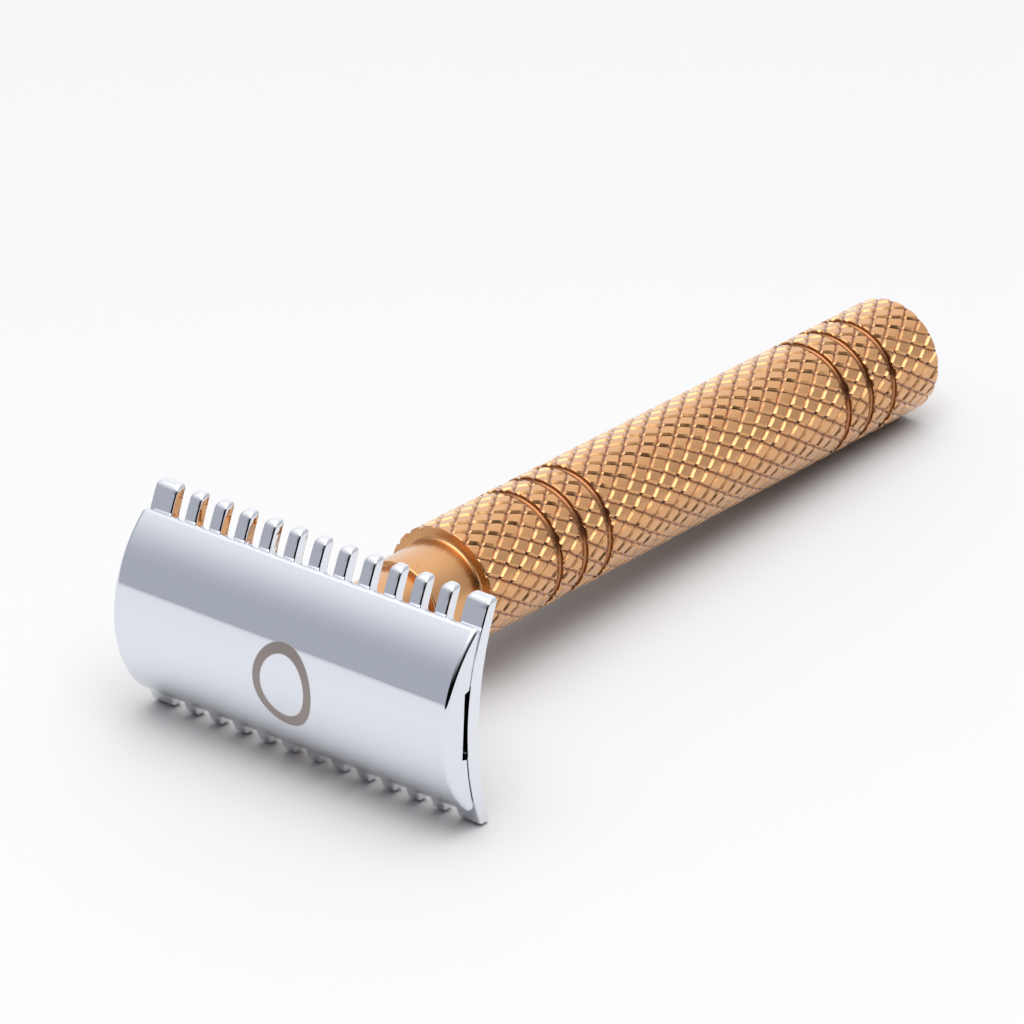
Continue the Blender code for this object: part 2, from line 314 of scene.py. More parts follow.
def cap_chrome():
    """Mirror chrome on the cap, with a plain oval ring in its middle that a laser has etched matt,
    so it stays one warm grey where the mirror around it changes."""
    material, tree, shader = new_material("polished_chrome_cap")
    place, polish = chrome_nodes(tree, shader, "#E2E5EC", 0.035)
    oval = add_node(tree, "ShaderNodeMapping", {
        "Vector": place,
        "Location": (-ETCH_MIDDLE[0] / ETCH_HALF_WIDTH, -ETCH_MIDDLE[1] / ETCH_HALF_HEIGHT, 0.0),
        "Scale": (1 / ETCH_HALF_WIDTH, 1 / ETCH_HALF_HEIGHT, 0.0)})
    distance = add_node(tree, "ShaderNodeVectorMath", {0: oval}, operation="LENGTH").outputs["Value"]
    from_line = add_node(tree, "ShaderNodeMath", {0: distance, 1: 1.0}, operation="SUBTRACT")
    off_line = add_node(tree, "ShaderNodeMath", {0: from_line}, operation="ABSOLUTE")
    line = add_node(tree, "ShaderNodeMapRange", {
        "Value": off_line, "From Min": ETCH_LINE * 0.93, "From Max": ETCH_LINE * 1.07,
        "To Min": 1.0, "To Max": 0.0})
    # Only the outside of the cap is etched, not its underside
    height = add_node(tree, "ShaderNodeSeparateXYZ", {0: place})
    outside = add_node(tree, "ShaderNodeMath", {0: height.outputs["Z"], 1: PLATE_TOP},
                       operation="GREATER_THAN")
    etched = add_node(tree, "ShaderNodeMath", {0: line, 1: outside}, operation="MULTIPLY")
    tone = add_node(tree, "ShaderNodeMix", {
        "Factor": etched, "A": colour("#E2E5EC"), "B": colour("#A59C97")}, data_type="RGBA")
    finish = add_node(tree, "ShaderNodeMix", {"Factor": etched, "A": polish, "B": 0.55})
    tree.links.new(tone.outputs["Result"], shader.inputs["Base Color"])
    tree.links.new(finish.outputs["Result"], shader.inputs["Roughness"])
    return material


def stud_steel():
    """Stainless steel, turned and rolled, left bright from the tool."""
    material, tree, shader = new_material("turned_stainless_steel")
    place = razor_coordinates(tree)
    # Tool marks round the metal, 0.11 mm apart
    stretched = add_node(tree, "ShaderNodeMapping", {"Vector": place, "Scale": (0.4, 0.4, 9.0)})
    marks = add_node(tree, "ShaderNodeTexNoise", {"Vector": stretched, "Scale": 1.0, "Detail": 3.0})
    roughness = add_node(tree, "ShaderNodeMapRange", {
        "Value": marks.outputs["Fac"], "To Min": 0.18, "To Max": 0.4})
    bump = add_node(tree, "ShaderNodeBump", {"Height": marks, "Distance": 0.000003, "Strength": 1.0})
    shader.inputs["Base Color"].default_value = colour("#B8B6B1")
    shader.inputs["Metallic"].default_value = 1.0
    tree.links.new(roughness.outputs[0], shader.inputs["Roughness"])
    tree.links.new(bump.outputs[0], shader.inputs["Normal"])
    return material


# Mesh tools

def arc(centre, radius, start, end, segments):
    """Points on a circle, from one angle to another in degrees."""
    points = []
    for step in range(segments + 1):
        angle = math.radians(start + (end - start) * step / segments)
        points.append((centre[0] + radius * math.cos(angle), centre[1] + radius * math.sin(angle)))
    return points


def angle_of(point, centre):
    """Angle in degrees of a point seen from a centre."""
    return math.degrees(math.atan2(point[1] - centre[1], point[0] - centre[0]))


def shown_object(name, mesh):
    """An object in the scene for a mesh."""
    made = bpy.data.objects.new(name, mesh)
    bpy.context.scene.collection.objects.link(made)
    return made


def mesh_of(made):
    """The evaluated mesh of an object, which is then removed."""
    evaluated = made.evaluated_get(bpy.context.evaluated_depsgraph_get())
    mesh = bpy.data.meshes.new_from_object(evaluated)
    bpy.data.objects.remove(made, do_unlink=True)
    return mesh


def combine(bm, operation, form):
    """Boolean of one closed shape with another. Both are used up."""
    pair = []
    for name, shape in (("base", bm), ("form", form)):
        mesh = bpy.data.meshes.new(name)
        shape.to_mesh(mesh)
        shape.free()
        pair.append(shown_object(name, mesh))
    boolean = pair[0].modifiers.new("combine", "BOOLEAN")
    boolean.operation = operation
    boolean.solver = "EXACT"
    boolean.object = pair[1]
    result = bmesh.new()
    result.from_mesh(mesh_of(pair[0]))
    bpy.data.objects.remove(pair[1], do_unlink=True)
    return result


def ring(bm, radius, z, steps, x=0.0):
    """One turn of points in order of angle, or a single point on the axis."""
    if radius == 0.0:
        return [bm.verts.new((x, 0.0, z))]
    turns = [2 * math.pi * (step / steps - 0.5) for step in range(steps)]
    return [bm.verts.new((x + radius * math.cos(a), radius * math.sin(a), z)) for a in turns]


def turn_profile(bm, profile, steps, x=0.0):
    """Faces of a turned surface through (radius, z) points. Returns its rings."""
    rings = [ring(bm, radius, z, steps, x) for radius, z in profile]
    for first, second in zip(rings, rings[1:]):
        for step in range(steps):
            after = (step + 1) % steps
            corners = [first[step % len(first)], first[after % len(first)],
                       second[after % len(second)], second[step % len(second)]]
            bm.faces.new(list(dict.fromkeys(corners)))
    return rings


def stitch(bm, first, second):
    """Join two rings with any number of points, both in order of angle, by a strip of triangles."""
    def angles(points):
        found = [math.atan2(v.co.y, v.co.x) for v in points]
        return found + [found[0] + 2 * math.pi]

    first_angles, second_angles = angles(first), angles(second)
    i = j = 0
    while i < len(first) or j < len(second):
        here, there = first[i % len(first)], second[j % len(second)]
        if j == len(second) or (i < len(first) and first_angles[i + 1] < second_angles[j + 1]):
            bm.faces.new((here, first[(i + 1) % len(first)], there))
            i += 1
        else:
            bm.faces.new((here, second[(j + 1) % len(second)], there))
            j += 1


def cut_along(bm, point, normal, clear_outer=False):
    """Divide every face along a plane, and drop what lies beyond it if asked."""
    everything = list(bm.verts) + list(bm.edges) + list(bm.faces)
    bmesh.ops.bisect_plane(bm, geom=everything, plane_co=point, plane_no=normal,
                           clear_outer=clear_outer, dist=CUT_TOLERANCE)


def hold_within(vert, limit):
    """Move a point in towards the razor's axis if it is farther out than a radius."""
    radius = math.hypot(vert.co.x, vert.co.y)
    if radius > limit:
        vert.co.x *= limit / radius
        vert.co.y *= limit / radius


def show_piece(name, bm, material, body, node):
    """Lay a finished shape down in the CAD's frame, in place of its CAD node."""
    bmesh.ops.recalc_face_normals(bm, faces=bm.faces)
    mesh = bpy.data.meshes.new(name)
    bm.to_mesh(mesh)
    bm.free()
    mesh.transform(PLACING)
    mesh.shade_smooth()
    mesh.set_sharp_from_angle(angle=math.radians(31))
    mesh.materials.clear()
    mesh.materials.append(material)
    piece = shown_object(name, mesh)
    normals = piece.modifiers.new("even_normals", "WEIGHTED_NORMAL")
    normals.keep_sharp = True
    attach(piece, body)
    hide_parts(node)


# Handle

def knurl_tree():
    """Geometry Nodes for a diamond knurl: tiles with a cut along each side, in staggered rows on a
    flat sheet, which is then wrapped round the handle's axis."""
    tree = bpy.data.node_groups.new("diamond_knurl", "GeometryNodeTree")
    for name in ("Radius", "Diamond Width", "Diamond Length", "Cut Width", "Cut Depth", "Wander", "Turn",
                 "Shift"):
        tree.interface.new_socket(name=name, in_out="INPUT", socket_type="NodeSocketFloat")
    for name in ("Starts", "Rows"):
        tree.interface.new_socket(name=name, in_out="INPUT", socket_type="NodeSocketInt")
    tree.interface.new_socket(name="Material", in_out="INPUT", socket_type="NodeSocketMaterial")
    tree.interface.new_socket(name="Geometry", in_out="OUTPUT", socket_type="NodeSocketGeometry")
    given = add_node(tree, "NodeGroupInput").outputs
    math_node = "ShaderNodeMath"

    # Half a cut's width as a share of the distance between cuts
    squares = [add_node(tree, math_node, {0: given[name], 1: 2.0}, operation="POWER")
               for name in ("Diamond Width", "Diamond Length")]
    total = add_node(tree, math_node, {0: squares[0], 1: squares[1]}, operation="ADD")
    diagonal = add_node(tree, math_node, {0: total}, operation="SQRT")
    area = add_node(tree, math_node, {0: given["Diamond Width"], 1: given["Diamond Length"]},
                    operation="MULTIPLY")
    spacing = add_node(tree, math_node, {0: area, 1: diagonal}, operation="DIVIDE")
    share = add_node(tree, math_node, {0: given["Cut Width"], 1: spacing}, operation="DIVIDE")
    half_cut = add_node(tree, math_node, {0: share, 1: 0.5}, operation="MULTIPLY")
    land_edge = add_node(tree, math_node, {0: 0.5, 1: half_cut}, operation="SUBTRACT")

    # One tile: a grid whose outer faces, past a third of its width, are narrowed to the walls of the cuts
    tile = add_node(tree, "GeometryNodeMeshGrid", {
        "Size X": 1.0, "Size Y": 1.0, "Vertices X": 7, "Vertices Y": 7})
    position = add_node(tree, "GeometryNodeInputPosition")
    sides = add_node(tree, "ShaderNodeSeparateXYZ", {0: position})
    across = []
    away = []
    for axis in ("X", "Y"):
        distance = add_node(tree, math_node, {0: sides.outputs[axis]}, operation="ABSOLUTE")
        sign = add_node(tree, math_node, {0: sides.outputs[axis]}, operation="SIGN")
        land = add_node(tree, "ShaderNodeMapRange", {
            "Value": distance, "From Max": 1 / 3, "To Max": land_edge})
        wall = add_node(tree, "ShaderNodeMapRange", {
            "Value": distance, "From Min": 1 / 3, "From Max": 0.5, "To Max": half_cut})
        spread = add_node(tree, math_node, {0: land, 1: wall}, operation="ADD")
        away.append(spread)
        across.append(add_node(tree, math_node, {0: spread, 1: sign}, operation="MULTIPLY"))
    nearest = add_node(tree, math_node, {0: away[0], 1: away[1]}, operation="MAXIMUM")
    depth = add_node(tree, "ShaderNodeMapRange", {
        "Value": nearest, "From Min": land_edge, "From Max": 0.5, "To Max": 1.0})
    height = add_node(tree, math_node, {0: depth, 1: given["Cut Depth"]}, operation="MULTIPLY")
    sunk = add_node(tree, math_node, {0: height, 1: -1.0}, operation="MULTIPLY")
    lengthwise = add_node(tree, math_node, {0: across[0], 1: across[1]}, operation="SUBTRACT")
    half_length = add_node(tree, math_node, {0: given["Diamond Length"], 1: 0.5}, operation="MULTIPLY")
    half_width = add_node(tree, math_node, {0: given["Diamond Width"], 1: 0.5}, operation="MULTIPLY")
    tile_x = add_node(tree, math_node, {0: lengthwise, 1: half_length}, operation="MULTIPLY")
    crosswise = add_node(tree, math_node, {0: across[0], 1: across[1]}, operation="ADD")
    tile_y = add_node(tree, math_node, {0: crosswise, 1: half_width}, operation="MULTIPLY")
    tile_point = add_node(tree, "ShaderNodeCombineXYZ", {"X": tile_x, "Y": tile_y, "Z": sunk})
    marked = add_node(tree, "GeometryNodeStoreNamedAttribute", {
        "Geometry": tile, "Name": "cut", "Value": depth}, data_type="FLOAT", domain="POINT")
    shaped = add_node(tree, "GeometryNodeSetPosition", {"Geometry": marked, "Position": tile_point})

    # The sheet: one tile at each point of a grid, every second row moved half a tile round
    rows_less = add_node(tree, math_node, {0: given["Rows"], 1: 1.0}, operation="SUBTRACT")
    starts_less = add_node(tree, math_node, {0: given["Starts"], 1: 1.0}, operation="SUBTRACT")
    sheet_x = add_node(tree, math_node, {0: rows_less, 1: half_length}, operation="MULTIPLY")
    sheet_y = add_node(tree, math_node, {0: starts_less, 1: given["Diamond Width"]}, operation="MULTIPLY")
    points = add_node(tree, "GeometryNodeMeshGrid", {
        "Size X": sheet_x, "Size Y": sheet_y, "Vertices X": given["Rows"], "Vertices Y": given["Starts"]})
    # A point's row, nudged so that rounding can't put it one row down
    index = add_node(tree, "GeometryNodeInputIndex")
    turns = add_node(tree, math_node, {0: index, 1: given["Starts"]}, operation="DIVIDE")
    nudged = add_node(tree, math_node, {0: turns, 1: 0.001}, operation="ADD")
    row = add_node(tree, math_node, {0: nudged}, operation="FLOOR")
    odd = add_node(tree, math_node, {0: row, 1: 2.0}, operation="MODULO")
    stagger = add_node(tree, math_node, {0: odd, 1: half_width}, operation="MULTIPLY")
    middle = add_node(tree, math_node, {0: sheet_x, 1: 0.5}, operation="MULTIPLY")
    start = add_node(tree, math_node, {0: middle, 1: given["Shift"]}, operation="ADD")
    moved = add_node(tree, "ShaderNodeCombineXYZ", {"X": start, "Y": stagger})
    staggered = add_node(tree, "GeometryNodeSetPosition", {"Geometry": points, "Offset": moved})
    tiles = add_node(tree, "GeometryNodeInstanceOnPoints", {"Points": staggered, "Instance": shaped})
    real = add_node(tree, "GeometryNodeRealizeInstances", {"Geometry": tiles})

    # Wrapped: along the sheet becomes up the handle, across it becomes the angle
    sheet = add_node(tree, "ShaderNodeSeparateXYZ", {0: position})
    bend = add_node(tree, math_node, {0: sheet.outputs["Y"], 1: given["Radius"]}, operation="DIVIDE")
    angle = add_node(tree, math_node, {0: bend, 1: given["Turn"]}, operation="ADD")
    reach = add_node(tree, math_node, {0: given["Radius"], 1: sheet.outputs["Z"]}, operation="ADD")
    cosine = add_node(tree, math_node, {0: angle}, operation="COSINE")
    sine = add_node(tree, math_node, {0: angle}, operation="SINE")
    round_x = add_node(tree, math_node, {0: reach, 1: cosine}, operation="MULTIPLY")
    round_y = add_node(tree, math_node, {0: reach, 1: sine}, operation="MULTIPLY")
    round_point = add_node(tree, "ShaderNodeCombineXYZ", {
        "X": round_x, "Y": round_y, "Z": sheet.outputs["X"]})
    wrapped = add_node(tree, "GeometryNodeSetPosition", {"Geometry": real, "Position": round_point})

    # The cuts waver a little, as the wheel that rolls them does
    noise = add_node(tree, "ShaderNodeTexNoise", {"Vector": position, "Scale": 0.8, "Detail": 1.0})
    centred = add_node(tree, math_node, {0: noise.outputs[0], 1: 0.5}, operation="SUBTRACT")
    slide = add_node(tree, math_node, {0: centred, 1: given["Wander"]}, operation="MULTIPLY")
    slid = add_node(tree, "ShaderNodeCombineXYZ", {"Z": slide})
    wavy = add_node(tree, "GeometryNodeSetPosition", {"Geometry": wrapped, "Offset": slid})
    joined = add_node(tree, "GeometryNodeMergeByDistance", {"Geometry": wavy, "Distance": TILE_JOIN})
    finish = add_node(tree, "GeometryNodeSetMaterial", {"Geometry": joined, "Material": given["Material"]})
    add_node(tree, "NodeGroupOutput", {0: finish})
    return tree


def knurled_sheet(material):
    """The knurl over the whole grip and a little past both ends, as a bmesh."""
    carrier = shown_object("knurl", bpy.data.meshes.new("knurl"))
    modifier = carrier.modifiers.new("knurl", "NODES")
    tree = knurl_tree()
    rows = math.ceil((GRIP_LENGTH + 3 * DIAMOND_LENGTH) / (DIAMOND_LENGTH / 2))
    values = {"Radius": GRIP_RADIUS, "Diamond Width": KNURL_WIDTH, "Diamond Length": DIAMOND_LENGTH,
              "Cut Width": CUT_WIDTH, "Cut Depth": CUT_DEPTH, "Wander": CUT_WANDER,
              "Turn": math.radians(KNURL_TURN),
              "Shift": KNURL_SHIFT - DIAMOND_LENGTH, "Starts": KNURL_STARTS, "Rows": rows,
              "Material": material}
    for socket in tree.interface.items_tree:
        if socket.in_out == "INPUT":
            modifier[socket.identifier] = values[socket.name]
    modifier.node_group = tree
    bm = bmesh.new()
    bm.from_mesh(mesh_of(carrier))
    return bm


def band_limits():
    """Lower and upper end of each knurled band, from the butt up."""
    middles = sorted(group + place * GROOVE_PITCH for group in GROOVE_GROUPS for place in (-1, 0, 1))
    lows = [0.0] + [z + GROOVE_WIDTH / 2 for z in middles]
    highs = [z - GROOVE_WIDTH / 2 for z in middles] + [GRIP_LENGTH]
    return list(zip(lows, highs))


def lip_radius(z, low, high):
    """Largest radius near a band's ends: chamfered lips, and a rounded rim at the butt."""
    limit = GRIP_RADIUS - max(0.0, LIP_CHAMFER - (high - z))
    if low > 0.0:
        return min(limit, GRIP_RADIUS - max(0.0, LIP_CHAMFER - (z - low)))
    drop = max(0.0, BUTT_ROUNDING - z)
    return min(limit, GRIP_RADIUS - BUTT_ROUNDING + math.sqrt(max(0.0, BUTT_ROUNDING ** 2 - drop ** 2)))


def end_ring(bm, z):
    """The open edge of a band at one height, in order of angle."""
    found = [v for v in bm.verts if v.is_boundary and abs(v.co.z - z) < ON_PLANE]
    return sorted(found, key=lambda v: math.atan2(v.co.y, v.co.x))


def groove_profile(low, high):
    """Square walls and floor of a turned groove, from its lower lip up."""
    wall = GRIP_RADIUS - CUT_DEPTH - LIP_STEP
    floor = GRIP_RADIUS - GROOVE_DEPTH
    corner = GROOVE_CORNER
    profile = [(wall, low)]
    profile += arc((floor + corner, low + corner), corner, 270, 180, 4)
    profile += arc((floor + corner, high - corner), corner, 180, 90, 4)
    return profile + [(wall, high)]


def neck_profile():
    """From the rim of the grip's front face, in to the neck, over the spigot and down the bore."""
    profile = [(GRIP_RADIUS - CUT_DEPTH - LIP_STEP, GRIP_LENGTH)]
    fillet = (NECK_RADIUS + NECK_FILLET, GRIP_LENGTH + NECK_FILLET)
    profile += arc(fillet, NECK_FILLET, 270, 180, 10)
    neck_top = GRIP_LENGTH + NECK_LENGTH
    chamfer = (NECK_RADIUS - NECK_CHAMFER, neck_top - NECK_CHAMFER)
    profile += arc(chamfer, NECK_CHAMFER, 0, 90, 4)
    profile += [(SPIGOT_RADIUS, neck_top), (SPIGOT_RADIUS, HANDLE_TOP - SPIGOT_CHAMFER)]
    profile += [(SPIGOT_RADIUS - SPIGOT_CHAMFER, HANDLE_TOP), (BORE_RADIUS + BORE_CHAMFER, HANDLE_TOP)]
    profile += [(BORE_RADIUS, HANDLE_TOP - BORE_CHAMFER), (BORE_RADIUS, HANDLE_TOP - BORE_DEPTH)]
    profile += [(0.0, HANDLE_TOP - BORE_DEPTH)]
    return profile


def make_handle(material):
    """Grip with diamond knurl between turned grooves, and a neck turned down in two steps."""
    bm = knurled_sheet(material)
    bands = band_limits()
    cuts = []
    for low, high in bands:
        cuts += [low, low + LIP_CHAMFER, high - LIP_CHAMFER, high]
    cuts += [BUTT_ROUNDING * share for share in BUTT_LINES]
    for z in cuts:
        cut_along(bm, (0, 0, z), (0, 0, 1))
    outside = []
    for face in bm.faces:
        z = face.calc_center_median().z
        if not any(low < z < high for low, high in bands):
            outside.append(face)
    bmesh.ops.delete(bm, geom=outside, context="FACES")
    for vert in bm.verts:
        low, high = min(bands, key=lambda band: max(band[0] - vert.co.z, vert.co.z - band[1]))
        hold_within(vert, lip_radius(vert.co.z, low, high))
    ends = [(end_ring(bm, low), end_ring(bm, high)) for low, high in bands]
    copper_tone = bm.verts.layers.float["cut"]
    for (low, high), lower, upper in zip(zip(bands, bands[1:]), ends, ends[1:]):
        groove = turn_profile(bm, groove_profile(low[1], high[0]), TURNED_STEPS)
        # The walls are marked for painted shade, a darker copper, and the floor between them keeps the
        # grip's plain copper
        middle = (low[1] + high[0]) / 2
        for vert in [vert for turn in groove for vert in turn]:
            vert[copper_tone] = GROOVE_SHADE_MARK if abs(vert.co.z - middle) > GROOVE_WIDTH / 4 else 0.0
        stitch(bm, lower[1], groove[0])
        stitch(bm, groove[-1], upper[0])
    butt_rim = GRIP_RADIUS - BUTT_ROUNDING
    butt = turn_profile(bm, [(0.0, 0.0), (butt_rim - BUTT_JOINT, 0.0)], TURNED_STEPS)
    stitch(bm, butt[-1], ends[0][0])
    neck = turn_profile(bm, neck_profile(), TURNED_STEPS)
    stitch(bm, ends[-1][1], neck[0])
    show_piece("knurled_handle", bm, material, "handle", "handle")


# Comb plate

def tip_centre():
    """Centre of a tooth tip's rounding on the face side."""
    y = COMB_HALF_WIDTH - TIP_ROUND
    return y, FACE_CENTRE + math.sqrt((FACE_RADIUS - TIP_ROUND) ** 2 - y ** 2)


def corner_centre():
    """Centre of a tooth tip's small corner on the back."""
    y = COMB_HALF_WIDTH - TIP_CORNER
    return y, BACK_CENTRE + math.sqrt((BACK_RADIUS + TIP_CORNER) ** 2 - y ** 2)


def circle_height(y, centre, radius, side):
    """Height of a circle above or below its centre at y."""
    return centre[1] + side * math.sqrt(max(0.0, radius ** 2 - (y - centre[0]) ** 2))


def face_height(y):
    """Height of the comb's face at a distance from its middle."""
    y = min(abs(y), COMB_HALF_WIDTH)
    tip = tip_centre()
    touch = tip[0] * FACE_RADIUS / (FACE_RADIUS - TIP_ROUND)
    if y > touch:
        return circle_height(y, tip, TIP_ROUND, 1)
    return circle_height(y, (0.0, FACE_CENTRE), FACE_RADIUS, 1)


def back_height(y):
    """Height of the comb's hollow back at a distance from its middle."""
    y = min(abs(y), COMB_HALF_WIDTH)
    corner = corner_centre()
    touch = corner[0] * BACK_RADIUS / (BACK_RADIUS + TIP_CORNER)
    if y > touch:
        return circle_height(y, corner, TIP_CORNER, -1)
    return circle_height(y, (0.0, BACK_CENTRE), BACK_RADIUS, 1)


def comb_outline():
    """Plan of the comb: teeth with rounded tips, slots with small round corners, on both long edges."""
    first = -(SLOTS_PER_SIDE - 1) / 2 * TOOTH_PITCH
    slots = [first + index * TOOTH_PITCH for index in range(SLOTS_PER_SIDE)]
    lefts = [-PLATE_HALF_LENGTH] + [x + SLOT_WIDTH / 2 for x in slots]
    rights = [x - SLOT_WIDTH / 2 for x in slots] + [PLATE_HALF_LENGTH]
    edge = []
    for left, right in zip(lefts, rights):
        tip = COMB_HALF_WIDTH - TOOTH_CORNER
        edge += arc((left + TOOTH_CORNER, tip), TOOTH_CORNER, 180, 90, 5)
        edge += arc((right - TOOTH_CORNER, tip), TOOTH_CORNER, 90, 0, 5)
        if right < PLATE_HALF_LENGTH:
            root = SLOT_START + SLOT_CORNER
            edge += arc((right + SLOT_CORNER, root), SLOT_CORNER, 180, 270, 4)
            edge += arc((right + SLOT_WIDTH - SLOT_CORNER, root), SLOT_CORNER, 270, 360, 4)
    return edge + [(x, -y) for x, y in reversed(edge)]


def disc_form(x, radius, low, high, steps=64):
    """A closed upright cylinder at (x, 0)."""
    bm = bmesh.new()
    turn_profile(bm, [(0.0, low), (radius, low), (radius, high), (0.0, high)], steps, x)
    bmesh.ops.recalc_face_normals(bm, faces=bm.faces)
    return bm


def make_comb(material):
    """Open-comb plate: a flat comb with polished edges, bowed, with a seat for the handle."""
    bm = bmesh.new()
    outline = [bm.verts.new((x, y, 0.0)) for x, y in comb_outline()]
    lower = bm.faces.new(outline)
    raised = bmesh.ops.extrude_face_region(bm, geom=[lower])["geom"]
    tops = [item for item in raised if isinstance(item, bmesh.types.BMVert)]
    bmesh.ops.translate(bm, verts=tops, vec=(0.0, 0.0, FLAT_THICKNESS))
    bmesh.ops.recalc_face_normals(bm, faces=bm.faces)
    rims = [edge for edge in bm.edges if abs(edge.verts[0].co.z - edge.verts[1].co.z) < 0.001]
    bmesh.ops.bevel(bm, geom=rims, offset=COMB_EDGE, segments=3, profile=0.5, affect="EDGES",
                    clamp_overlap=True)
    tip_y = tip_centre()[0]
    lines = [BOW_STEP * step for step in range(1, int(tip_y / BOW_STEP) + 1)]
    lines += [tip_y + TIP_ROUND * math.sin(math.radians(angle)) for angle in range(0, 85, 9)]
    for y in [0.0] + lines + [-line for line in lines]:
        cut_along(bm, (0, y, 0), (0, 1, 0))
    for vert in bm.verts:
        share = vert.co.z / FLAT_THICKNESS
        low, high = back_height(vert.co.y), face_height(vert.co.y)
        vert.co.z = low + share * (high - low)
    bm = combine(bm, "UNION", disc_form(0.0, SEAT_RADIUS, SEAT_Z, PLATE_TOP - SEAT_BURIED))
    for x, radius in ((0.0, STUD_HOLE), (-POST_X, POST_HOLE), (POST_X, POST_HOLE)):
        form = disc_form(x, radius, SEAT_Z - FORM_PAST, PLATE_TOP + FORM_PAST)
        bm = combine(bm, "DIFFERENCE", form)
    show_piece("open_comb_plate", bm, material, "plate", "comb_plate")


# Cap

def cap_outline(inset):
    """Cross-section of the cap as (y, z) points, moved inwards by inset."""
    gap = CAP_CENTRE - FACE_CENTRE
    to_top = CAP_RADIUS - CAP_RIM
    to_under = UNDERSIDE_RADIUS + CAP_RIM
    along = (to_under ** 2 - to_top ** 2 + gap ** 2) / (2 * gap)
    rim = (math.sqrt(to_under ** 2 - along ** 2), FACE_CENTRE + along)
    top_angle = angle_of(rim, (0.0, CAP_CENTRE))
    under_angle = angle_of(rim, (0.0, FACE_CENTRE))
    half = arc((0.0, CAP_CENTRE), CAP_RADIUS - inset, 90, top_angle, 48)[1:]
    half += arc(rim, CAP_RIM - inset, top_angle, under_angle - 180, 16)[1:]
    half += arc((0.0, FACE_CENTRE), UNDERSIDE_RADIUS + inset, under_angle, 90, 24)[1:-1]
    mirrored = [(-y, z) for y, z in reversed(half)]
    return [(0.0, CAP_TOP - inset)] + half + [(0.0, UNDERSIDE + inset)] + mirrored


def recess_form(side):
    """The recess for a blade's tabs at one end: flat ceiling and slanted sides."""
    ceiling = UNDERSIDE + RECESS_HEIGHT
    floor = UNDERSIDE - RECESS_REACH
    top = RECESS_CEILING_WIDTH / 2
    foot = RECESS_FOOT_WIDTH / 2
    bm = bmesh.new()
    inner = side * (CAP_HALF_LENGTH - RECESS_DEPTH)
    outer = side * (CAP_HALF_LENGTH + FORM_PAST)
    corners = ((-foot, floor), (foot, floor), (top, ceiling), (-top, ceiling))
    loops = [[bm.verts.new((x, y, z)) for y, z in corners] for x in (inner, outer)]
    for step in range(4):
        after = (step + 1) % 4
        bm.faces.new((loops[0][step], loops[0][after], loops[1][after], loops[1][step]))
    bm.faces.new(loops[0])
    bm.faces.new(loops[1])
    bmesh.ops.recalc_face_normals(bm, faces=bm.faces)
    return bm


def make_cap(material):
    """Domed cap, its end edges rounded over, with a tab recess at each end and blind holes."""
    bm = bmesh.new()
    stations = [(inset, CAP_HALF_LENGTH - CAP_END + reach) for reach, inset in
                arc((0.0, CAP_END), CAP_END, 0, -90, 8)]
    stations += [(inset, -x) for inset, x in reversed(stations)]
    loops = [[bm.verts.new((x, y, z)) for y, z in cap_outline(inset)] for inset, x in stations]
    for first, second in zip(loops, loops[1:]):
        for step in range(len(first)):
            after = (step + 1) % len(first)
            bm.faces.new((first[step], first[after], second[after], second[step]))
    bm.faces.new(loops[0])
    bm.faces.new(loops[-1])
    bmesh.ops.recalc_face_normals(bm, faces=bm.faces)
    for side in (-1, 1):
        bm = combine(bm, "DIFFERENCE", recess_form(side))
    for name in ("threaded_stud", "alignment_post_left", "alignment_post_right"):
        low, high = span(name)
        radius = (high.x - low.x) / 2 + PIN_CLEARANCE
        form = disc_form((low.x + high.x) / 2, radius, SEAT_Z, high.z + PIN_CLEARANCE)
        bm = combine(bm, "DIFFERENCE", form)
    show_piece("domed_cap", bm, material, "cap", "cap")


# Stud and posts

def make_stud(material):
    """Stud with a real V thread, its flanks about 60 degrees apart, and a chamfered nose."""
    low, high = span("threaded_stud")
    bm = bmesh.new()
    crest = high.x
    root = crest - THREAD_DEPTH
    root_start = THREAD_CREST + THREAD_FLANK
    section = ((crest, 0.0), (crest, THREAD_CREST), (root, root_start), (root, root_start + THREAD_ROOT))
    turns = math.ceil((high.z - low.z) / THREAD_PITCH) + 3
    columns = []
    for step in range(THREAD_STEPS):
        angle = 2 * math.pi * step / THREAD_STEPS
        lift = low.z - 2 * THREAD_PITCH + THREAD_PITCH * step / THREAD_STEPS
        column = []
        for turn in range(turns):
            for radius, z in section:
                point = (radius * math.cos(angle), radius * math.sin(angle), lift + turn * THREAD_PITCH + z)
                column.append(bm.verts.new(point))
        columns.append(column)
    for step in range(THREAD_STEPS):
        here = columns[step]
        there = columns[(step + 1) % THREAD_STEPS]
        if step == THREAD_STEPS - 1:
            there = there[len(section):]
        for row in range(min(len(here), len(there)) - 1):
            bm.faces.new((here[row], there[row], there[row + 1], here[row + 1]))
    for z, normal in ((low.z, -1), (high.z, 1)):
        cut_along(bm, (0, 0, z), (0, 0, normal), clear_outer=True)
    for vert in bm.verts:
        hold_within(vert, crest - max(0.0, NOSE_CHAMFER - (vert.co.z - low.z)))
    bmesh.ops.holes_fill(bm, edges=[edge for edge in bm.edges if edge.is_boundary], sides=0)
    show_piece("threaded_rod", bm, material, "cap", "threaded_stud")


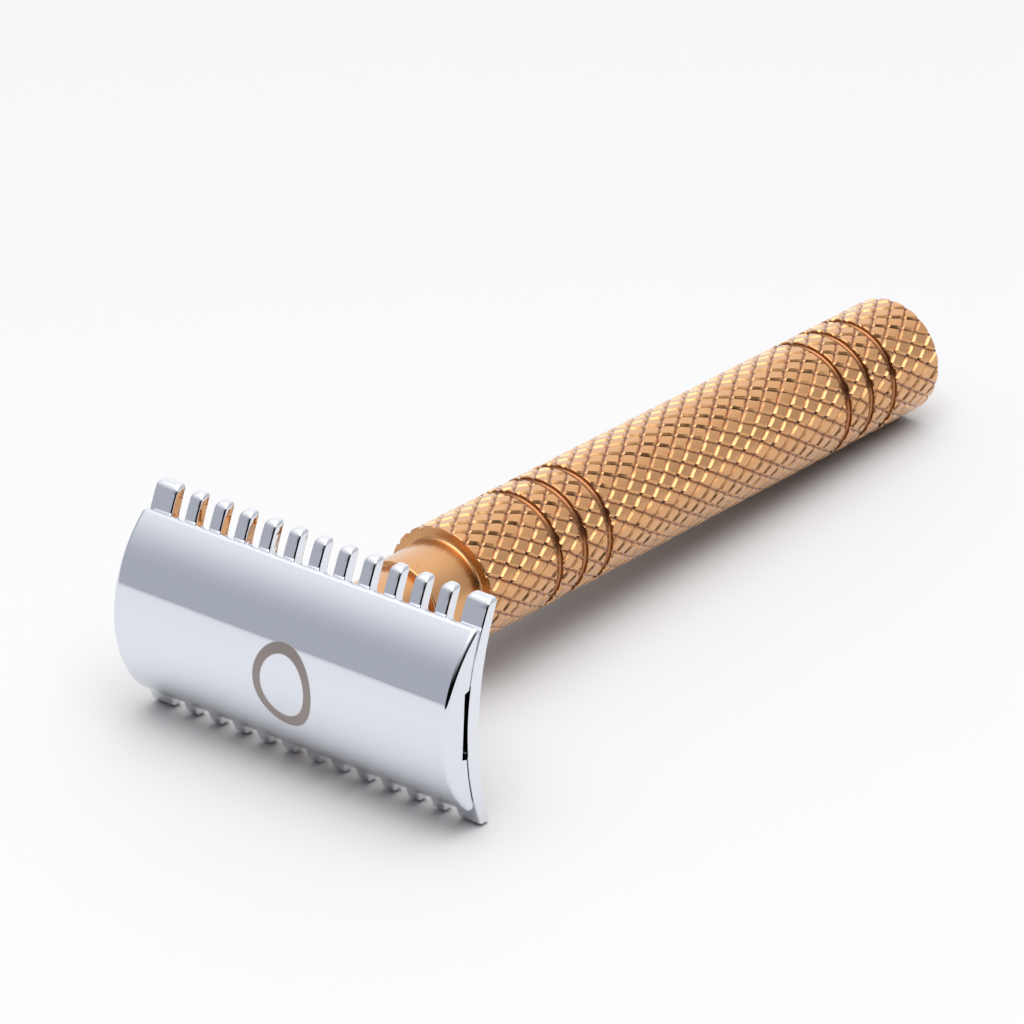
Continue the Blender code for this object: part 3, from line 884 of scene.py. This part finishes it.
def make_post(name, node, material):
    """Alignment post with a rounded nose."""
    low, high = span(node)
    radius = (high.x - low.x) / 2
    profile = [(0.0, low.z), (radius - NOSE_CHAMFER, low.z)]
    profile += arc((radius - NOSE_CHAMFER, low.z + NOSE_CHAMFER), NOSE_CHAMFER, 270, 360, 6)[1:]
    profile += [(radius, high.z - POST_CHAMFER), (radius - POST_CHAMFER, high.z), (0.0, high.z)]
    bm = bmesh.new()
    turn_profile(bm, profile, THREAD_STEPS, (low.x + high.x) / 2)
    show_piece(name, bm, material, "cap", node)


# Stage

def make_floor():
    """A wide pale tabletop with a soft matt finish."""
    bm = bmesh.new()
    bmesh.ops.create_grid(bm, x_segments=1, y_segments=1, size=TABLE_HALF_WIDTH)
    mesh = bpy.data.meshes.new("tabletop")
    bm.to_mesh(mesh)
    bm.free()
    material, _, shader = new_material("white_tabletop")
    shader.inputs["Base Color"].default_value = colour("#B9B9BA")
    shader.inputs["Roughness"].default_value = 0.6
    shader.inputs["Specular IOR Level"].default_value = 0.2
    mesh.materials.append(material)
    floor = shown_object("tabletop", mesh)


def look_along(item, place, target):
    """Put a camera or light at a place, facing a target."""
    item.location = place
    item.rotation_euler = (Vector(target) - Vector(place)).to_track_quat("-Z", "Y").to_euler()


def make_softbox():
    """A square softbox overhead that polished metal doesn't mirror."""
    light = bpy.data.lights.new("overhead_softbox", "AREA")
    light.shape = "RECTANGLE"
    light.size = light.size_y = SOFTBOX_SIZE
    light.energy = SOFTBOX_WATTS
    item = bpy.data.objects.new("overhead_softbox", light)
    bpy.context.scene.collection.objects.link(item)
    look_along(item, SOFTBOX_PLACE, (0.0, 0.0, 0.0))
    item.visible_glossy = False


def make_world():
    """A studio: glowing white ceiling, pale walls that grey to the right behind, and a front that is
    grey on its left and black over the rest."""
    world = bpy.data.worlds.new("studio")
    world.use_nodes = True
    tree = world.node_tree
    background = tree.nodes["Background"]
    coordinates = add_node(tree, "ShaderNodeTexCoord")
    axes = add_node(tree, "ShaderNodeSeparateXYZ", {0: coordinates.outputs["Generated"]})
    height = add_node(tree, "ShaderNodeMath", {0: axes.outputs["Z"], 1: axes.outputs["Z"]},
                      operation="MULTIPLY")

    # Each tone runs between two others along a measure, from its low to its high value
    tones = {name: colour(name) for name in ("#87898F", "#040405", "#C4C4C4", "#97989C", "#FFFFFF")}
    for name, measure, low, high, first, second in (
            ("front", axes.outputs["X"], -0.48, -0.2, "#87898F", "#040405"),
            ("back", axes.outputs["X"], -0.3, 0.5, "#C4C4C4", "#97989C"),
            ("walls", axes.outputs["Y"], 0.0, 0.55, "front", "back"),
            ("room", height, 0.075, 0.75, "walls", "#C4C4C4"),
            ("studio", height, 0.62, 0.8, "room", "#FFFFFF")):
        share = add_node(tree, "ShaderNodeMapRange", {"Value": measure, "From Min": low, "From Max": high},
                         interpolation_type="SMOOTHSTEP")
        tones[name] = add_node(tree, "ShaderNodeMix", {
            "Factor": share, "A": tones[first], "B": tones[second]}, data_type="RGBA").outputs["Result"]
    tree.links.new(tones["studio"], background.inputs["Color"])
    glow = add_node(tree, "ShaderNodeMapRange", {
        "Value": height, "From Min": 0.62, "From Max": 0.8, "To Min": 2.0, "To Max": 2.8},
        interpolation_type="SMOOTHSTEP")
    tree.links.new(glow.outputs[0], background.inputs["Strength"])
    bpy.context.scene.world = world


def make_camera():
    """A long lens, looking down along the head at the handle behind it."""
    camera = bpy.data.objects.new("camera", bpy.data.cameras.new("camera"))
    bpy.context.scene.collection.objects.link(camera)
    azimuth, elevation = math.radians(CAMERA_AZIMUTH), math.radians(CAMERA_ELEVATION)
    back = Vector((math.sin(azimuth) * math.cos(elevation), -math.cos(azimuth) * math.cos(elevation),
                   math.sin(elevation)))
    look_along(camera, Vector(CAMERA_AIM) + back * CAMERA_DISTANCE, CAMERA_AIM)
    camera.data.lens = CAMERA_LENS
    camera.data.sensor_width = 36.0
    camera.data.clip_start = 0.05
    bpy.context.scene.camera = camera


steel = stud_steel()
make_handle(anodised_aluminium())
make_comb(comb_chrome())
make_cap(cap_chrome())
make_stud(steel)
make_post("alignment_pin_left", "alignment_post_left", steel)
make_post("alignment_pin_right", "alignment_post_right", steel)

make_floor()
make_world()
make_softbox()
make_camera()
bpy.context.scene.view_settings.view_transform = "Standard"
